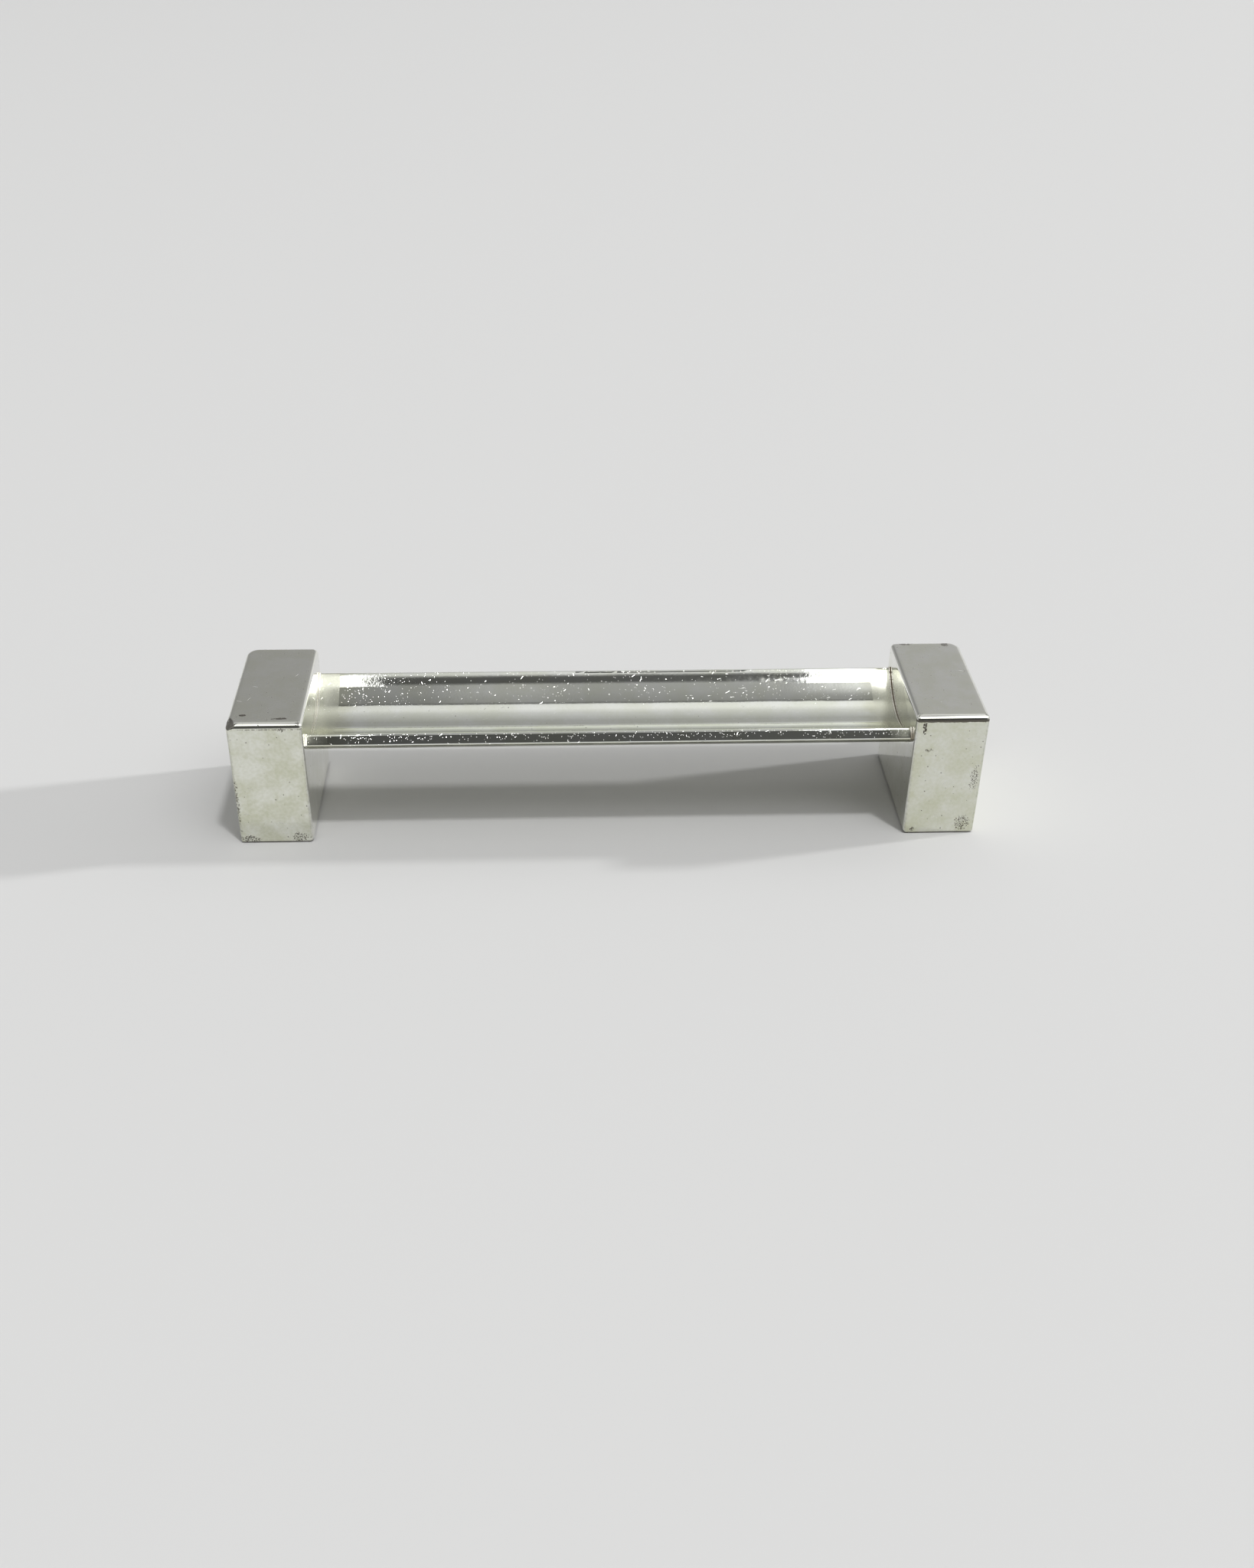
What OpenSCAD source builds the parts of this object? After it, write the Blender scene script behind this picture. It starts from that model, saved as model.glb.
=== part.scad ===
// Knife rest of silver plate: two solid end blocks joined by a trough-shaped bar.
// X runs along the rest, Y from front to rear, and Z up. The origin is on the table, under the middle.

/* [Overall] */
// Length of the rest over both end blocks
overall_length = 90; // [75:1:110]

/* [End blocks] */
// Width of a block, along the rest
block_width = 8.8; // [7:0.1:11]
// Depth of a block, from front to rear
block_depth = 18.5; // [16:0.1:21]
// Height of a block
block_height = 16.8; // [14:0.1:20]
// Rounding of a block's two upright edges at the front
front_edge_round = 0.4; // [0.2:0.1:1.2]
// Rounding of a block's upright rear edge at the free end
rear_outer_round = 1.5; // [0.2:0.1:2]
// Rounding of a block's upright rear edge beside the bar
rear_inner_round = 0.8; // [0.2:0.1:1.2]
// Rounding of a block's top edges
top_edge_round = 0.5; // [0.2:0.1:1.2]
// Rounding of the edges round a block's foot
foot_edge_round = 0.3; // [0.1:0.1:0.8]
// Rounding of the foot's edge beside the bar
foot_inner_round = 0.7; // [0.1:0.1:1.2]

/* [Trough bar] */
// Inside radius of the trough
trough_radius = 10.2; // [9.5:0.1:14]
// Wall thickness of the trough
trough_wall = 1.45; // [1:0.05:2]
// Depth of the rims below the tops of the blocks
rim_drop = 2.5; // [1:0.1:3.5]
// Distance of the rims behind the front faces of the blocks, and the same at the rear
rim_setback = 0.85; // [0.5:0.05:1.5]
// Rounding of the rims' edges
rim_edge_round = 0.3; // [0.1:0.05:0.45]

/* [Solder seams] */
// Width of the solder between a block and the bar
seam_width = 0.25; // [0.2:0.05:0.6]
// Spread of the solder past the bar's outline, on a block's face
seam_spread = 0.15; // [0.1:0.05:0.5]

/* [Hidden] */
// Segments of a full circle in a preview
$fn = 96;

// Where the blocks end and the solder begins
inner_face_x = overall_length / 2 - block_width;
// Where the solder ends and the bar begins
bar_end_x = inner_face_x - seam_width;

// The trough is part of a tube, whose axis runs along the rest above the blocks
trough_outer_radius = trough_radius + trough_wall;
rim_reach = block_depth / 2 - rim_setback;
half_angle = asin(rim_reach / trough_outer_radius);
axis_height = block_height - rim_drop + trough_radius * cos(half_angle);

// The circles that round the two edges of a rim touch its end face and one of the two arcs
hollow_edge_radius = trough_radius + rim_edge_round;
back_edge_radius = trough_outer_radius - rim_edge_round;
hollow_edge_angle = half_angle - asin(rim_edge_round / hollow_edge_radius);
back_edge_angle = half_angle - asin(rim_edge_round / back_edge_radius);

// The solder runs a little past the rims too
seam_half_angle = half_angle + asin(seam_spread / 2 / trough_outer_radius);

// Everything that is cut away runs this far past what it cuts
overrun = block_width / 4;

// Colours as the metal shows them
plate_colour = [0.74, 0.74, 0.69];
bar_colour = [0.80, 0.80, 0.75];
solder_colour = [0.45, 0.42, 0.36];

// Point at a radius and an angle from straight down, as seen along the rest
function polar(radius, angle) = radius * [sin(angle), -cos(angle)];

// Rectangle from (x0, y0) to (x1, y1), with corners rounded from the lower left one anticlockwise
module rounded_rectangle(x0, x1, y0, y1, rounds) {
    corners = [[x0, y0], [x1, y0], [x1, y1], [x0, y1]];
    inward = [[1, 1], [-1, 1], [-1, -1], [1, -1]];
    difference() {
        translate([x0, y0]) square([x1 - x0, y1 - y0]);
        for (i = [0:3])
            translate(corners[i] + (rounds[i] - overrun) / 2 * inward[i])
                square(rounds[i] + overrun, center = true);
    }
    for (i = [0:3]) translate(corners[i] + rounds[i] * inward[i]) circle(rounds[i]);
}

// Ring sector that opens to both sides of straight down
module ring_sector(inner_radius, outer_radius, half_spread) {
    reach = (outer_radius + overrun) / cos(half_spread);
    intersection() {
        difference() {
            circle(outer_radius);
            circle(inner_radius);
        }
        polygon([[0, 0], polar(reach, -half_spread), polar(reach, half_spread)]);
    }
}

// The bar's section, round the trough's axis
module bar_section() {
    hollow_tangent = hollow_edge_radius * cos(half_angle - hollow_edge_angle);
    back_tangent = back_edge_radius * cos(half_angle - back_edge_angle);
    ring_sector(trough_radius, trough_outer_radius, hollow_edge_angle);
    ring_sector(hollow_edge_radius, trough_outer_radius, back_edge_angle);
    ring_sector(hollow_tangent, back_tangent, half_angle);
    for (side = [-1, 1]) {
        translate(polar(hollow_edge_radius, side * hollow_edge_angle)) circle(rim_edge_round);
        translate(polar(back_edge_radius, side * back_edge_angle)) circle(rim_edge_round);
    }
}

// Right-hand block: its rounded plan, front and side outlines run through each other
module end_block() {
    plan_rounds = [front_edge_round, front_edge_round, rear_outer_round, rear_inner_round];
    front_rounds = [foot_inner_round, foot_edge_round, top_edge_round, top_edge_round];
    side_rounds = [foot_edge_round, foot_edge_round, top_edge_round, top_edge_round];
    outer_x = overall_length / 2;
    half_depth = block_depth / 2;
    intersection() {
        linear_extrude(block_height)
            rounded_rectangle(inner_face_x, outer_x, -half_depth, half_depth, plan_rounds);
        translate([0, half_depth + overrun, 0]) rotate([90, 0, 0])
            linear_extrude(block_depth + 2 * overrun)
                rounded_rectangle(inner_face_x, outer_x, 0, block_height, front_rounds);
        translate([inner_face_x - overrun, 0, 0]) rotate([90, 0, 90])
            linear_extrude(block_width + 2 * overrun)
                rounded_rectangle(-half_depth, half_depth, 0, block_height, side_rounds);
    }
}

// Right-hand seam: it leaves the bar's end flush with the metal and widens towards the block
module solder_seam() {
    translate([inner_face_x, 0, axis_height]) rotate([0, -90, 0])
        rotate([0, 0, 180 - seam_half_angle]) rotate_extrude(angle = 2 * seam_half_angle)
            polygon([
                [trough_radius - seam_spread, 0],
                [trough_outer_radius + seam_spread, 0],
                [trough_outer_radius, seam_width],
                [trough_radius, seam_width],
            ]);
}

module left_block() {
    color(plate_colour) mirror([1, 0, 0]) end_block();
}

module right_block() {
    color(plate_colour) end_block();
}

module trough_bar() {
    color(bar_colour) translate([-bar_end_x, 0, axis_height]) rotate([90, 0, 90])
        linear_extrude(2 * bar_end_x) bar_section();
}

module left_solder_seam() {
    color(solder_colour) mirror([1, 0, 0]) solder_seam();
}

module right_solder_seam() {
    color(solder_colour) solder_seam();
}

left_block();
right_block();
trough_bar();
left_solder_seam();
right_solder_seam();
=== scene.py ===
"""Looks of a silver-plated knife rest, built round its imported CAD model.

Two solid end blocks stand on the table and carry a trough-shaped bar, which silver solder holds
between them. Each kind of piece is a class that models it over its CAD solid and gives it its finish.
Lengths are in metres. X runs along the rest, Y from front to rear, and Z up.
"""
import logging
import math
from collections.abc import Callable, Iterator
from contextlib import contextmanager
from dataclasses import dataclass, field, replace
from enum import Enum
from functools import cached_property

import bmesh
import bpy
from mathutils import Matrix, Vector


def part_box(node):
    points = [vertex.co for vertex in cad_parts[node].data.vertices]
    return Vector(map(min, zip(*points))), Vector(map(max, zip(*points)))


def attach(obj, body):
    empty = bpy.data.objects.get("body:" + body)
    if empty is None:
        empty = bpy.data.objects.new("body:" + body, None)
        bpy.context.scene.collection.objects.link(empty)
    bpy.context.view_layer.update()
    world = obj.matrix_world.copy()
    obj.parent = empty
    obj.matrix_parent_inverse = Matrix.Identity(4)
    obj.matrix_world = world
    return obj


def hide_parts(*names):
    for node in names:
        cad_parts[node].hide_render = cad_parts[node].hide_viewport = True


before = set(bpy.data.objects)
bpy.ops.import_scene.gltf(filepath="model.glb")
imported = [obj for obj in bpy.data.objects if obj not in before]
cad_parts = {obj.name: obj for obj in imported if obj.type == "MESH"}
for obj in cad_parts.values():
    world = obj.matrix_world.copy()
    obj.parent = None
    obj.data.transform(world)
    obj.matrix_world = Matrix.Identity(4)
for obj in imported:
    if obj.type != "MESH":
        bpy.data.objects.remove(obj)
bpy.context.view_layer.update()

logging.basicConfig(level=logging.INFO, format="%(message)s")
log = logging.getLogger("knife_rest")

MM = 0.001
TOUCH = 0.01 * MM
HALF_TURN = 180.0
SHARP_DEGREES = 40.0
SMOOTH, GRAINY, CLOUDY = 2.0, 3.0, 6.0
BODY = "root"

Colour = tuple[float, float, float]
Place = tuple[float, float, float]
# A step is where it starts and ends, and, if they aren't 0 and 1, its results there.
Span = tuple[float, float]
Step = tuple[float, float, float, float]
Socket = bpy.types.NodeSocket


class Side(Enum):
    """The two ends of the rest, by the sign of X."""

    LEFT = -1
    RIGHT = 1

    @property
    def word(self) -> str:
        """The side's name as the CAD nodes spell it."""
        return self.name.lower()


class Axis(Enum):
    """The axes of the rest, by their place in a vector."""

    X = 0
    Y = 1
    Z = 2

    @property
    def normal(self) -> Vector:
        """Unit vector along the axis."""
        return Vector([float(i == self.value) for i in range(3)])


class Shape:
    """A mesh object while it is modelled, with a few mesh operators to a step."""

    def __init__(self, kind: str, name: str, scale: Place = (1.0, 1.0, 1.0), **options: object) -> None:
        """Adds a primitive, and moves its place, turn and stretch into its mesh.

        Args:
            kind: Which primitive it is, as its operator spells it.
            name: What the object is called.
            scale: How far it is stretched along its own axes.
            options: What the operator is given.
        """
        bpy.ops.object.select_all(action="DESELECT")
        getattr(bpy.ops.mesh, f"primitive_{kind}_add")(**options)
        self.object = bpy.context.active_object
        self.object.scale = scale
        self.object.name = name
        self.object.data.name = name
        bpy.ops.object.transform_apply(location=True, rotation=True, scale=True)

    def select(self, *others: "Shape") -> None:
        """Selects the shape and others, and nothing else, and makes it the active one.

        Args:
            others: The other shapes.
        """
        bpy.ops.object.select_all(action="DESELECT")
        for shape in (self, *others):
            shape.object.select_set(True)
        bpy.context.view_layer.objects.active = self.object

    @contextmanager
    def editing(self, kind: str = "EDGE") -> Iterator[None]:
        """Opens the shape in edit mode with nothing selected, and closes it again.

        Args:
            kind: What is selected there: VERT, EDGE or FACE.
        """
        self.select()
        bpy.ops.object.mode_set(mode="EDIT")
        bpy.ops.mesh.select_mode(type=kind)
        bpy.ops.mesh.select_all(action="DESELECT")
        yield
        bpy.ops.object.mode_set(mode="OBJECT")

    def pick_edges(self, wanted: Callable[[Vector, Vector], bool]) -> None:
        """Selects edges in edit mode.

        Args:
            wanted: Says for an edge's two ends whether it is selected.
        """
        mesh = bmesh.from_edit_mesh(self.object.data)
        for edge in mesh.edges:
            edge.select_set(wanted(edge.verts[0].co, edge.verts[1].co))
        bmesh.update_edit_mesh(self.object.data)

    def slice_across(self, axis: Axis, low: float, high: float, pitch: float) -> None:
        """Cuts even edge rings round the shape, square to an axis.

        Args:
            axis: The axis that the cuts are square to.
            low: Where the shape starts along the axis.
            high: Where it ends.
            pitch: The longest step from ring to ring.
        """
        count = math.ceil((high - low) / pitch)
        with self.editing():
            for i in range(1, count):
                place = axis.normal * (low + (high - low) * i / count)
                bpy.ops.mesh.select_all(action="SELECT")
                bpy.ops.mesh.bisect(plane_co=place, plane_no=axis.normal)

    def apply(self, kind: str, **settings: object) -> None:
        """Adds a modifier and applies it.

        Args:
            kind: The modifier's type.
            settings: Its settings by name.
        """
        self.select()
        modifier = self.object.modifiers.new(kind.title(), kind)
        for name, value in settings.items():
            setattr(modifier, name, value)
        bpy.ops.object.modifier_apply(modifier=modifier.name)

    def roughen(self, grain: float, depth: float) -> None:
        """Moves the surface in and out a little, as filing and polishing by hand leave it.

        Args:
            grain: Width of the swells.
            depth: Height from the lowest to the highest.
        """
        clouds = bpy.data.textures.new(f"{self.object.name}_swells", "CLOUDS")
        clouds.noise_scale = grain
        clouds.noise_depth = 1
        self.apply("DISPLACE", texture=clouds, texture_coords="LOCAL", strength=depth)

    def face_outwards(self) -> None:
        """Merges doubled vertices and turns all faces of the closed shape outwards."""
        with self.editing("VERT"):
            bpy.ops.mesh.select_all(action="SELECT")
            bpy.ops.mesh.remove_doubles(threshold=TOUCH / 10)
            bpy.ops.mesh.normals_make_consistent(inside=False)

    def smooth(self) -> None:
        """Shades the shape smooth all over."""
        self.select()
        bpy.ops.object.shade_smooth()

    def keep_flats(self) -> None:
        """Shades the shape smooth but for its sharp corners, with its large faces ruling the edges."""
        self.select()
        bpy.ops.object.shade_smooth_by_angle(angle=math.radians(SHARP_DEGREES))
        self.apply("WEIGHTED_NORMAL", mode="FACE_AREA", weight=60, keep_sharp=True)


class Mixed(Enum):
    """What a Mix node mixes: its data type, and the word that its sockets end in."""

    NUMBERS = ("FLOAT", "Float")
    VECTORS = ("VECTOR", "Vector")
    COLOURS = ("RGBA", "Color")


class Wiring:
    """Adds nodes to one node tree and joins them up. An input is given a socket or a plain value."""

    def __init__(self, tree: bpy.types.NodeTree) -> None:
        """Starts on a tree."""
        self.tree = tree

    def feed(self, socket: Socket, value: object) -> None:
        """Gives an input socket a link or a plain value.

        Args:
            socket: The input socket.
            value: A socket to link it to, or its value.
        """
        if isinstance(value, Socket):
            self.tree.links.new(value, socket)
        else:
            socket.default_value = value

    def add(self, kind: str, given: dict[str, object] | None = None, **settings: object) -> bpy.types.Node:
        """Adds a node.

        Args:
            kind: The node's type.
            given: What its inputs are given, by their names.
            settings: Its settings by name.

        Returns:
            The new node.
        """
        node = self.tree.nodes.new(kind)
        for name, value in settings.items():
            setattr(node, name, value)
        for name, value in (given or {}).items():
            self.feed(node.inputs[name], value)
        return node

    def run(self, kind: str, *values: object, **settings: object) -> Socket:
        """Adds a node, gives its inputs values in their order, and takes its first output.

        Args:
            kind: The node's type.
            values: What its first inputs are given.
            settings: Its settings by name.

        Returns:
            The output.
        """
        node = self.add(kind, **settings)
        for socket, value in zip(node.inputs, values):
            self.feed(socket, value)
        return node.outputs[0]

    def math(self, operation: str, *values: object) -> Socket:
        """Adds a Math node and returns its output."""
        return self.run("ShaderNodeMath", *values, operation=operation)

    def vector(self, operation: str, *values: object) -> Socket:
        """Adds a Vector Math node with a vector for its result, and returns its output."""
        return self.run("ShaderNodeVectorMath", *values, operation=operation)

    def times(self, *values: object) -> Socket:
        """Multiplies two numbers and returns the product."""
        return self.math("MULTIPLY", *values)

    def scaled(self, value: object, factor: object, plus: object) -> Socket:
        """Multiplies a number by a factor, adds another, and returns the sum."""
        return self.math("MULTIPLY_ADD", value, factor, plus)

    def size(self, value: object) -> Socket:
        """Takes a number without its sign and returns it."""
        return self.math("ABSOLUTE", value)

    def dimmed(self, value: object, mask: object, share: float) -> Socket:
        """Takes a share off a number where a mask is 1, and returns it."""
        return self.times(value, self.scaled(mask, -share, 1.0))

    def fade(self, value: object, start: object, end: object, low: float = 0.0, high: float = 1.0) -> Socket:
        """Adds a smooth step from a low result at its start to a high one at its end."""
        return self.run("ShaderNodeMapRange", value, start, end, low, high, interpolation_type="SMOOTHSTEP")

    def fade_round(self, value: object, middle: object, reach: object, *results: float) -> Socket:
        """Adds a smooth step that reaches as far to both sides of its middle, and returns its output."""
        start, end = (self.math(operation, middle, reach) for operation in ("SUBTRACT", "ADD"))
        return self.fade(value, start, end, *results)

    def band(self, value: object, rise: Span, fall: Span) -> Socket:
        """Adds a smooth step up and a smooth step down, and returns what lies between."""
        return self.times(self.fade(value, *rise), self.fade(value, *fall, 1.0, 0.0))

    def mixed(self, what: Mixed, share: object, first: object, second: object) -> Socket:
        """Adds a mix of two numbers, vectors or colours.

        Args:
            what: What is mixed.
            share: How much of the second one shows.
            first: The first one, a socket or plain numbers.
            second: The second one.

        Returns:
            The mix.
        """
        data_type, word = what.value
        node = self.add("ShaderNodeMix", data_type=data_type)
        sockets = {s.identifier: s for s in (*node.inputs, *node.outputs)}
        for name, item in (("Factor_Float", share), (f"A_{word}", first), (f"B_{word}", second)):
            opaque = what is Mixed.COLOURS and isinstance(item, tuple)
            self.feed(sockets[name], (*item, 1.0) if opaque else item)
        return sockets[f"Result_{word}"]

    def mix(self, share: object, first: object, second: object) -> Socket:
        """Adds a mix of two numbers and returns it."""
        return self.mixed(Mixed.NUMBERS, share, first, second)

    def blend(self, share: object, first: object, second: object) -> Socket:
        """Adds a mix of two colours and returns it."""
        return self.mixed(Mixed.COLOURS, share, first, second)

    def noise(self, vector: object, scale: object, detail: float) -> Socket:
        """Adds a Noise texture, whose detail is smooth, grainy or cloudy, and returns its value."""
        return self.add("ShaderNodeTexNoise", {"Vector": vector, "Scale": scale, "Detail": detail}).outputs[0]

    def cells(self, vector: object) -> bpy.types.Node:
        """Adds a flat Voronoi texture of nearest cells and returns the node."""
        return self.add("ShaderNodeTexVoronoi", {"Vector": vector, "Scale": 1.0}, voronoi_dimensions="2D")

    def split(self, vector: object) -> list[Socket]:
        """Takes a vector apart and returns its three parts."""
        return list(self.add("ShaderNodeSeparateXYZ", {"Vector": vector}).outputs)

    def join(self, x: object, y: object, z: object = 0.0) -> Socket:
        """Makes a vector from three parts and returns it."""
        return self.run("ShaderNodeCombineXYZ", x, y, z)

    def bump(self, height: object, distance: float, strength: float = 1.0) -> Socket:
        """Adds a Bump node and returns its normal."""
        given = {"Height": height, "Distance": distance, "Strength": strength}
        return self.add("ShaderNodeBump", given).outputs["Normal"]


class Effect(Enum):
    """Surface effects that more than one finish uses, each a node group."""

    FLAT_MAP = "flat map of the faces"
    SCRATCHES = "hairline scratches"
    PITS = "pits in the plate"
    TARNISH = "tarnish clouds"
    # This group also draws the painted shade lines under the blocks' top front edges.
    SMUDGE = "smudge at a place"
    EDGES = "rounded edges"
    JOINT_BAND = "band beside a joint"

    def placed(self, wiring: Wiring, **inputs: object) -> Socket:
        """Places the effect's group in a tree, and builds it when it is first asked for.

        Args:
            wiring: The tree's wiring.
            inputs: The group's inputs by name.

        Returns:
            The group's output.
        """
        tree = bpy.data.node_groups.get(self.value)
        if tree is None:
            tree = bpy.data.node_groups.new(self.value, "ShaderNodeTree")
            getattr(EffectGroups, self.name.lower())(EffectGroups(tree))
        return wiring.add("ShaderNodeGroup", inputs, node_tree=tree, label=self.value).outputs[0]


class EffectGroups:
    """Builds the node groups of the surface effects. Noise scales are in swells to the metre."""

    TOP_FROM = 0.6
    SHIFT_BY_TURN = 37.0
    LINE_CORE = 0.45
    CLUSTER_SCALE = 160.0
    CLUSTER_STEP: Step = (0.40, 0.60, 0.45, 1.45)
    PIT_CORE = 0.4
    SMALLEST_PIT = 0.2
    SMUDGE_STEP: Step = (0.25, 1.0, 1.0, 0.0)
    SMUDGE_EDGE = 0.08
    EDGE_STEP: Span = (0.005, 0.04)
    BAND_SCALE = 700.0

    def __init__(self, tree: bpy.types.NodeTree) -> None:
        """Starts on an empty group."""
        self.tree = tree
        self.wiring = Wiring(tree)

    def open(self, output: str, kind: str = "NodeSocketFloat", **inputs: object) -> dict[str, Socket]:
        """Gives the group its sockets.

        Args:
            output: The name of its one output.
            kind: The output's type.
            inputs: Its inputs by name, each with its usual value: a number, or None for a vector.

        Returns:
            The inputs, as sockets that the group's nodes read.
        """
        self.tree.interface.new_socket(output, in_out="OUTPUT", socket_type=kind)
        for name, value in inputs.items():
            is_vector = value is None or isinstance(value, tuple)
            socket_type = "NodeSocketVector" if is_vector else "NodeSocketFloat"
            item = self.tree.interface.new_socket(name, in_out="INPUT", socket_type=socket_type)
            if value is not None:
                item.default_value = value
        return dict(zip(inputs, self.wiring.add("NodeGroupInput").outputs))

    def close(self, result: Socket) -> None:
        """Joins the result to the group's output."""
        self.wiring.feed(self.wiring.add("NodeGroupOutput").inputs[0], result)

    def flat_map(self) -> None:
        """Unrolls the faces: the top by X and Y, and the upright faces by their width and Z."""
        w = self.wiring
        given = self.open("Map", "NodeSocketVector", Vector=None, Normal=None)
        x, y, z = w.split(given["Vector"])
        lies_flat = w.math("GREATER_THAN", w.size(w.split(given["Normal"])[2]), self.TOP_FROM)
        upright = w.join(w.math("ADD", x, y), z)
        self.close(w.mixed(Mixed.VECTORS, lies_flat, upright, w.join(x, y)))

    def scratches(self) -> None:
        """Short straight scratches in loose clusters, all turned one way."""
        w = self.wiring
        given = self.open("Mask", Map=None, Turn=0.0, Spacing=0.5 * MM, Length=20.0, Width=0.05, Presence=0.5)
        turning = {"Vector": given["Map"], "Angle": given["Turn"]}
        x, y, _ = w.split(w.add("ShaderNodeVectorRotate", turning, rotation_type="Z_AXIS").outputs[0])
        across = w.math("DIVIDE", x, given["Spacing"])
        along = w.math("DIVIDE", y, w.times(given["Spacing"], given["Length"]))
        shift = w.join(w.times(given["Turn"], self.SHIFT_BY_TURN), 0.0)
        node = w.cells(w.vector("ADD", w.join(across, along), shift))
        core = w.times(given["Width"], self.LINE_CORE)
        line = w.fade(node.outputs["Distance"], core, given["Width"], 1.0, 0.0)
        clusters = w.fade(w.noise(given["Map"], self.CLUSTER_SCALE, SMOOTH), *self.CLUSTER_STEP)
        presence = w.times(given["Presence"], clusters)
        self.close(w.times(line, w.math("LESS_THAN", w.split(node.outputs["Color"])[0], presence)))

    def pits(self) -> None:
        """Round pits of mixed size."""
        w = self.wiring
        given = self.open("Mask", Map=None, Spacing=0.8 * MM, Size=0.12, Presence=0.5)
        node = w.cells(w.vector("DIVIDE", given["Map"], w.join(given["Spacing"], given["Spacing"], 1.0)))
        chance, width, _ = w.split(node.outputs["Color"])
        size = w.times(given["Size"], w.math("ADD", width, self.SMALLEST_PIT))
        dot = w.fade(node.outputs["Distance"], w.times(size, self.PIT_CORE), size, 1.0, 0.0)
        self.close(w.times(dot, w.math("LESS_THAN", chance, given["Presence"])))

    def tarnish(self) -> None:
        """Soft clouds with a finer mottle in them, over half of the surface."""
        w = self.wiring
        given = self.open("Mask", Vector=None, Width=3.0 * MM, Softness=0.2)
        clouds = w.noise(given["Vector"], w.math("DIVIDE", 1.0, given["Width"]), CLOUDY)
        self.close(w.fade_round(clouds, 0.5, given["Softness"]))

    def smudge(self) -> None:
        """One ragged dark mark round a place, which can break up into specks: a smudge, or a line of painted
        shade.
        """
        w = self.wiring
        given = self.open(
            "Mask", Vector=None, Place=(0.0, 0.0, 0.0), Reach=(MM, MM, MM), Grain=0.4 * MM, Strength=1.0,
            Cover=0.6,
        )
        offset = w.vector("DIVIDE", w.vector("SUBTRACT", given["Vector"], given["Place"]), given["Reach"])
        length = w.add("ShaderNodeVectorMath", {"Vector": offset}, operation="LENGTH").outputs["Value"]
        near = w.fade(length, *self.SMUDGE_STEP)
        grain = w.noise(given["Vector"], w.math("DIVIDE", 1.0, given["Grain"]), GRAINY)
        level = w.math("SUBTRACT", 1.0, w.times(near, given["Cover"]))
        mask = w.fade(grain, level, w.math("ADD", level, self.SMUDGE_EDGE))
        self.close(w.times(mask, given["Strength"]))

    def edges(self) -> None:
        """Rounded edges of a block with faces square to the axes."""
        w = self.wiring
        given = self.open("Mask", Normal=None)
        x, y, z = (w.size(part) for part in w.split(given["Normal"]))
        largest = w.math("MAXIMUM", w.math("MAXIMUM", x, y), z)
        self.close(w.fade(w.math("SUBTRACT", 1.0, largest), *self.EDGE_STEP))

    def joint_band(self) -> None:
        """Band beside a joint, measured along X on both sides of the middle, with a ragged edge."""
        w = self.wiring
        given = self.open("Mask", Vector=None, Joint=0.036, Reach=2.5 * MM, Softness=0.1 * MM)
        away = w.math("SUBTRACT", given["Joint"], w.size(w.split(given["Vector"])[0]))
        grain = w.math("SUBTRACT", w.noise(given["Vector"], self.BAND_SCALE, GRAINY), 0.5)
        ragged = w.math("ADD", away, w.times(grain, w.times(given["Softness"], 2.0)))
        self.close(w.fade_round(ragged, given["Reach"], given["Softness"], 1.0, 0.0))


@dataclass(frozen=True)
class Scratching:
    """One set of hairline scratches that run the same way.

    The spacing is in millimetres, the length a multiple of it, and the width a share of it. A set with
    a stretch keeps to it: the X of its middle and its half length, in millimetres too.
    """

    STRETCH_CORE = 0.6
    RIMS = ((7.0 * MM, 7.3 * MM), (7.8 * MM, 8.1 * MM))

    turn: float
    spacing: float
    length: float
    width: float
    presence: float
    stretch: Span | None = None
    on_rims: bool = False

    def mask(self, w: Wiring, place: Socket, flat: Socket) -> Socket:
        """Finds where the scratches run.

        Args:
            w: The material's wiring.
            place: The surface's place.
            flat: The flat map of the faces.

        Returns:
            Their mask.
        """
        lines = Effect.SCRATCHES.placed(
            w, Map=flat, Turn=self.turn, Spacing=self.spacing * MM, Length=self.length, Width=self.width,
            Presence=self.presence,
        )
        if self.stretch:
            middle, half = (part * MM for part in self.stretch)
            away = w.size(w.math("SUBTRACT", w.split(place)[0], middle))
            lines = w.times(lines, w.fade(away, self.STRETCH_CORE * half, half, 1.0, 0.0))
        if self.on_rims:
            lines = w.times(lines, w.band(w.size(w.split(place)[1]), *self.RIMS))
        return lines


@dataclass(frozen=True)
class Smudge:
    """A dark smudge mark, or a line of painted shade, with its place, reach and grain in millimetres.

    Its place is measured inwards along the rest, to the rear, and up, from the outer front corner of a
    block's foot, or from the right end of the bar's rear rim.
    """

    place: Place
    reach: Place
    grain: float
    strength: float
    cover: float

    def mask(self, w: Wiring, place: Socket, corner: Vector, inwards: int) -> Socket:
        """Adds the mask of the smudge or shade line, measured from a corner, with X inwards along the rest.
        """
        there = corner + Vector((inwards * self.place[0], *self.place[1:])) * MM
        return Effect.SMUDGE.placed(
            w, Vector=place, Place=there, Reach=Vector(self.reach) * MM, Grain=self.grain * MM,
            Strength=self.strength, Cover=self.cover,
        )


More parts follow.
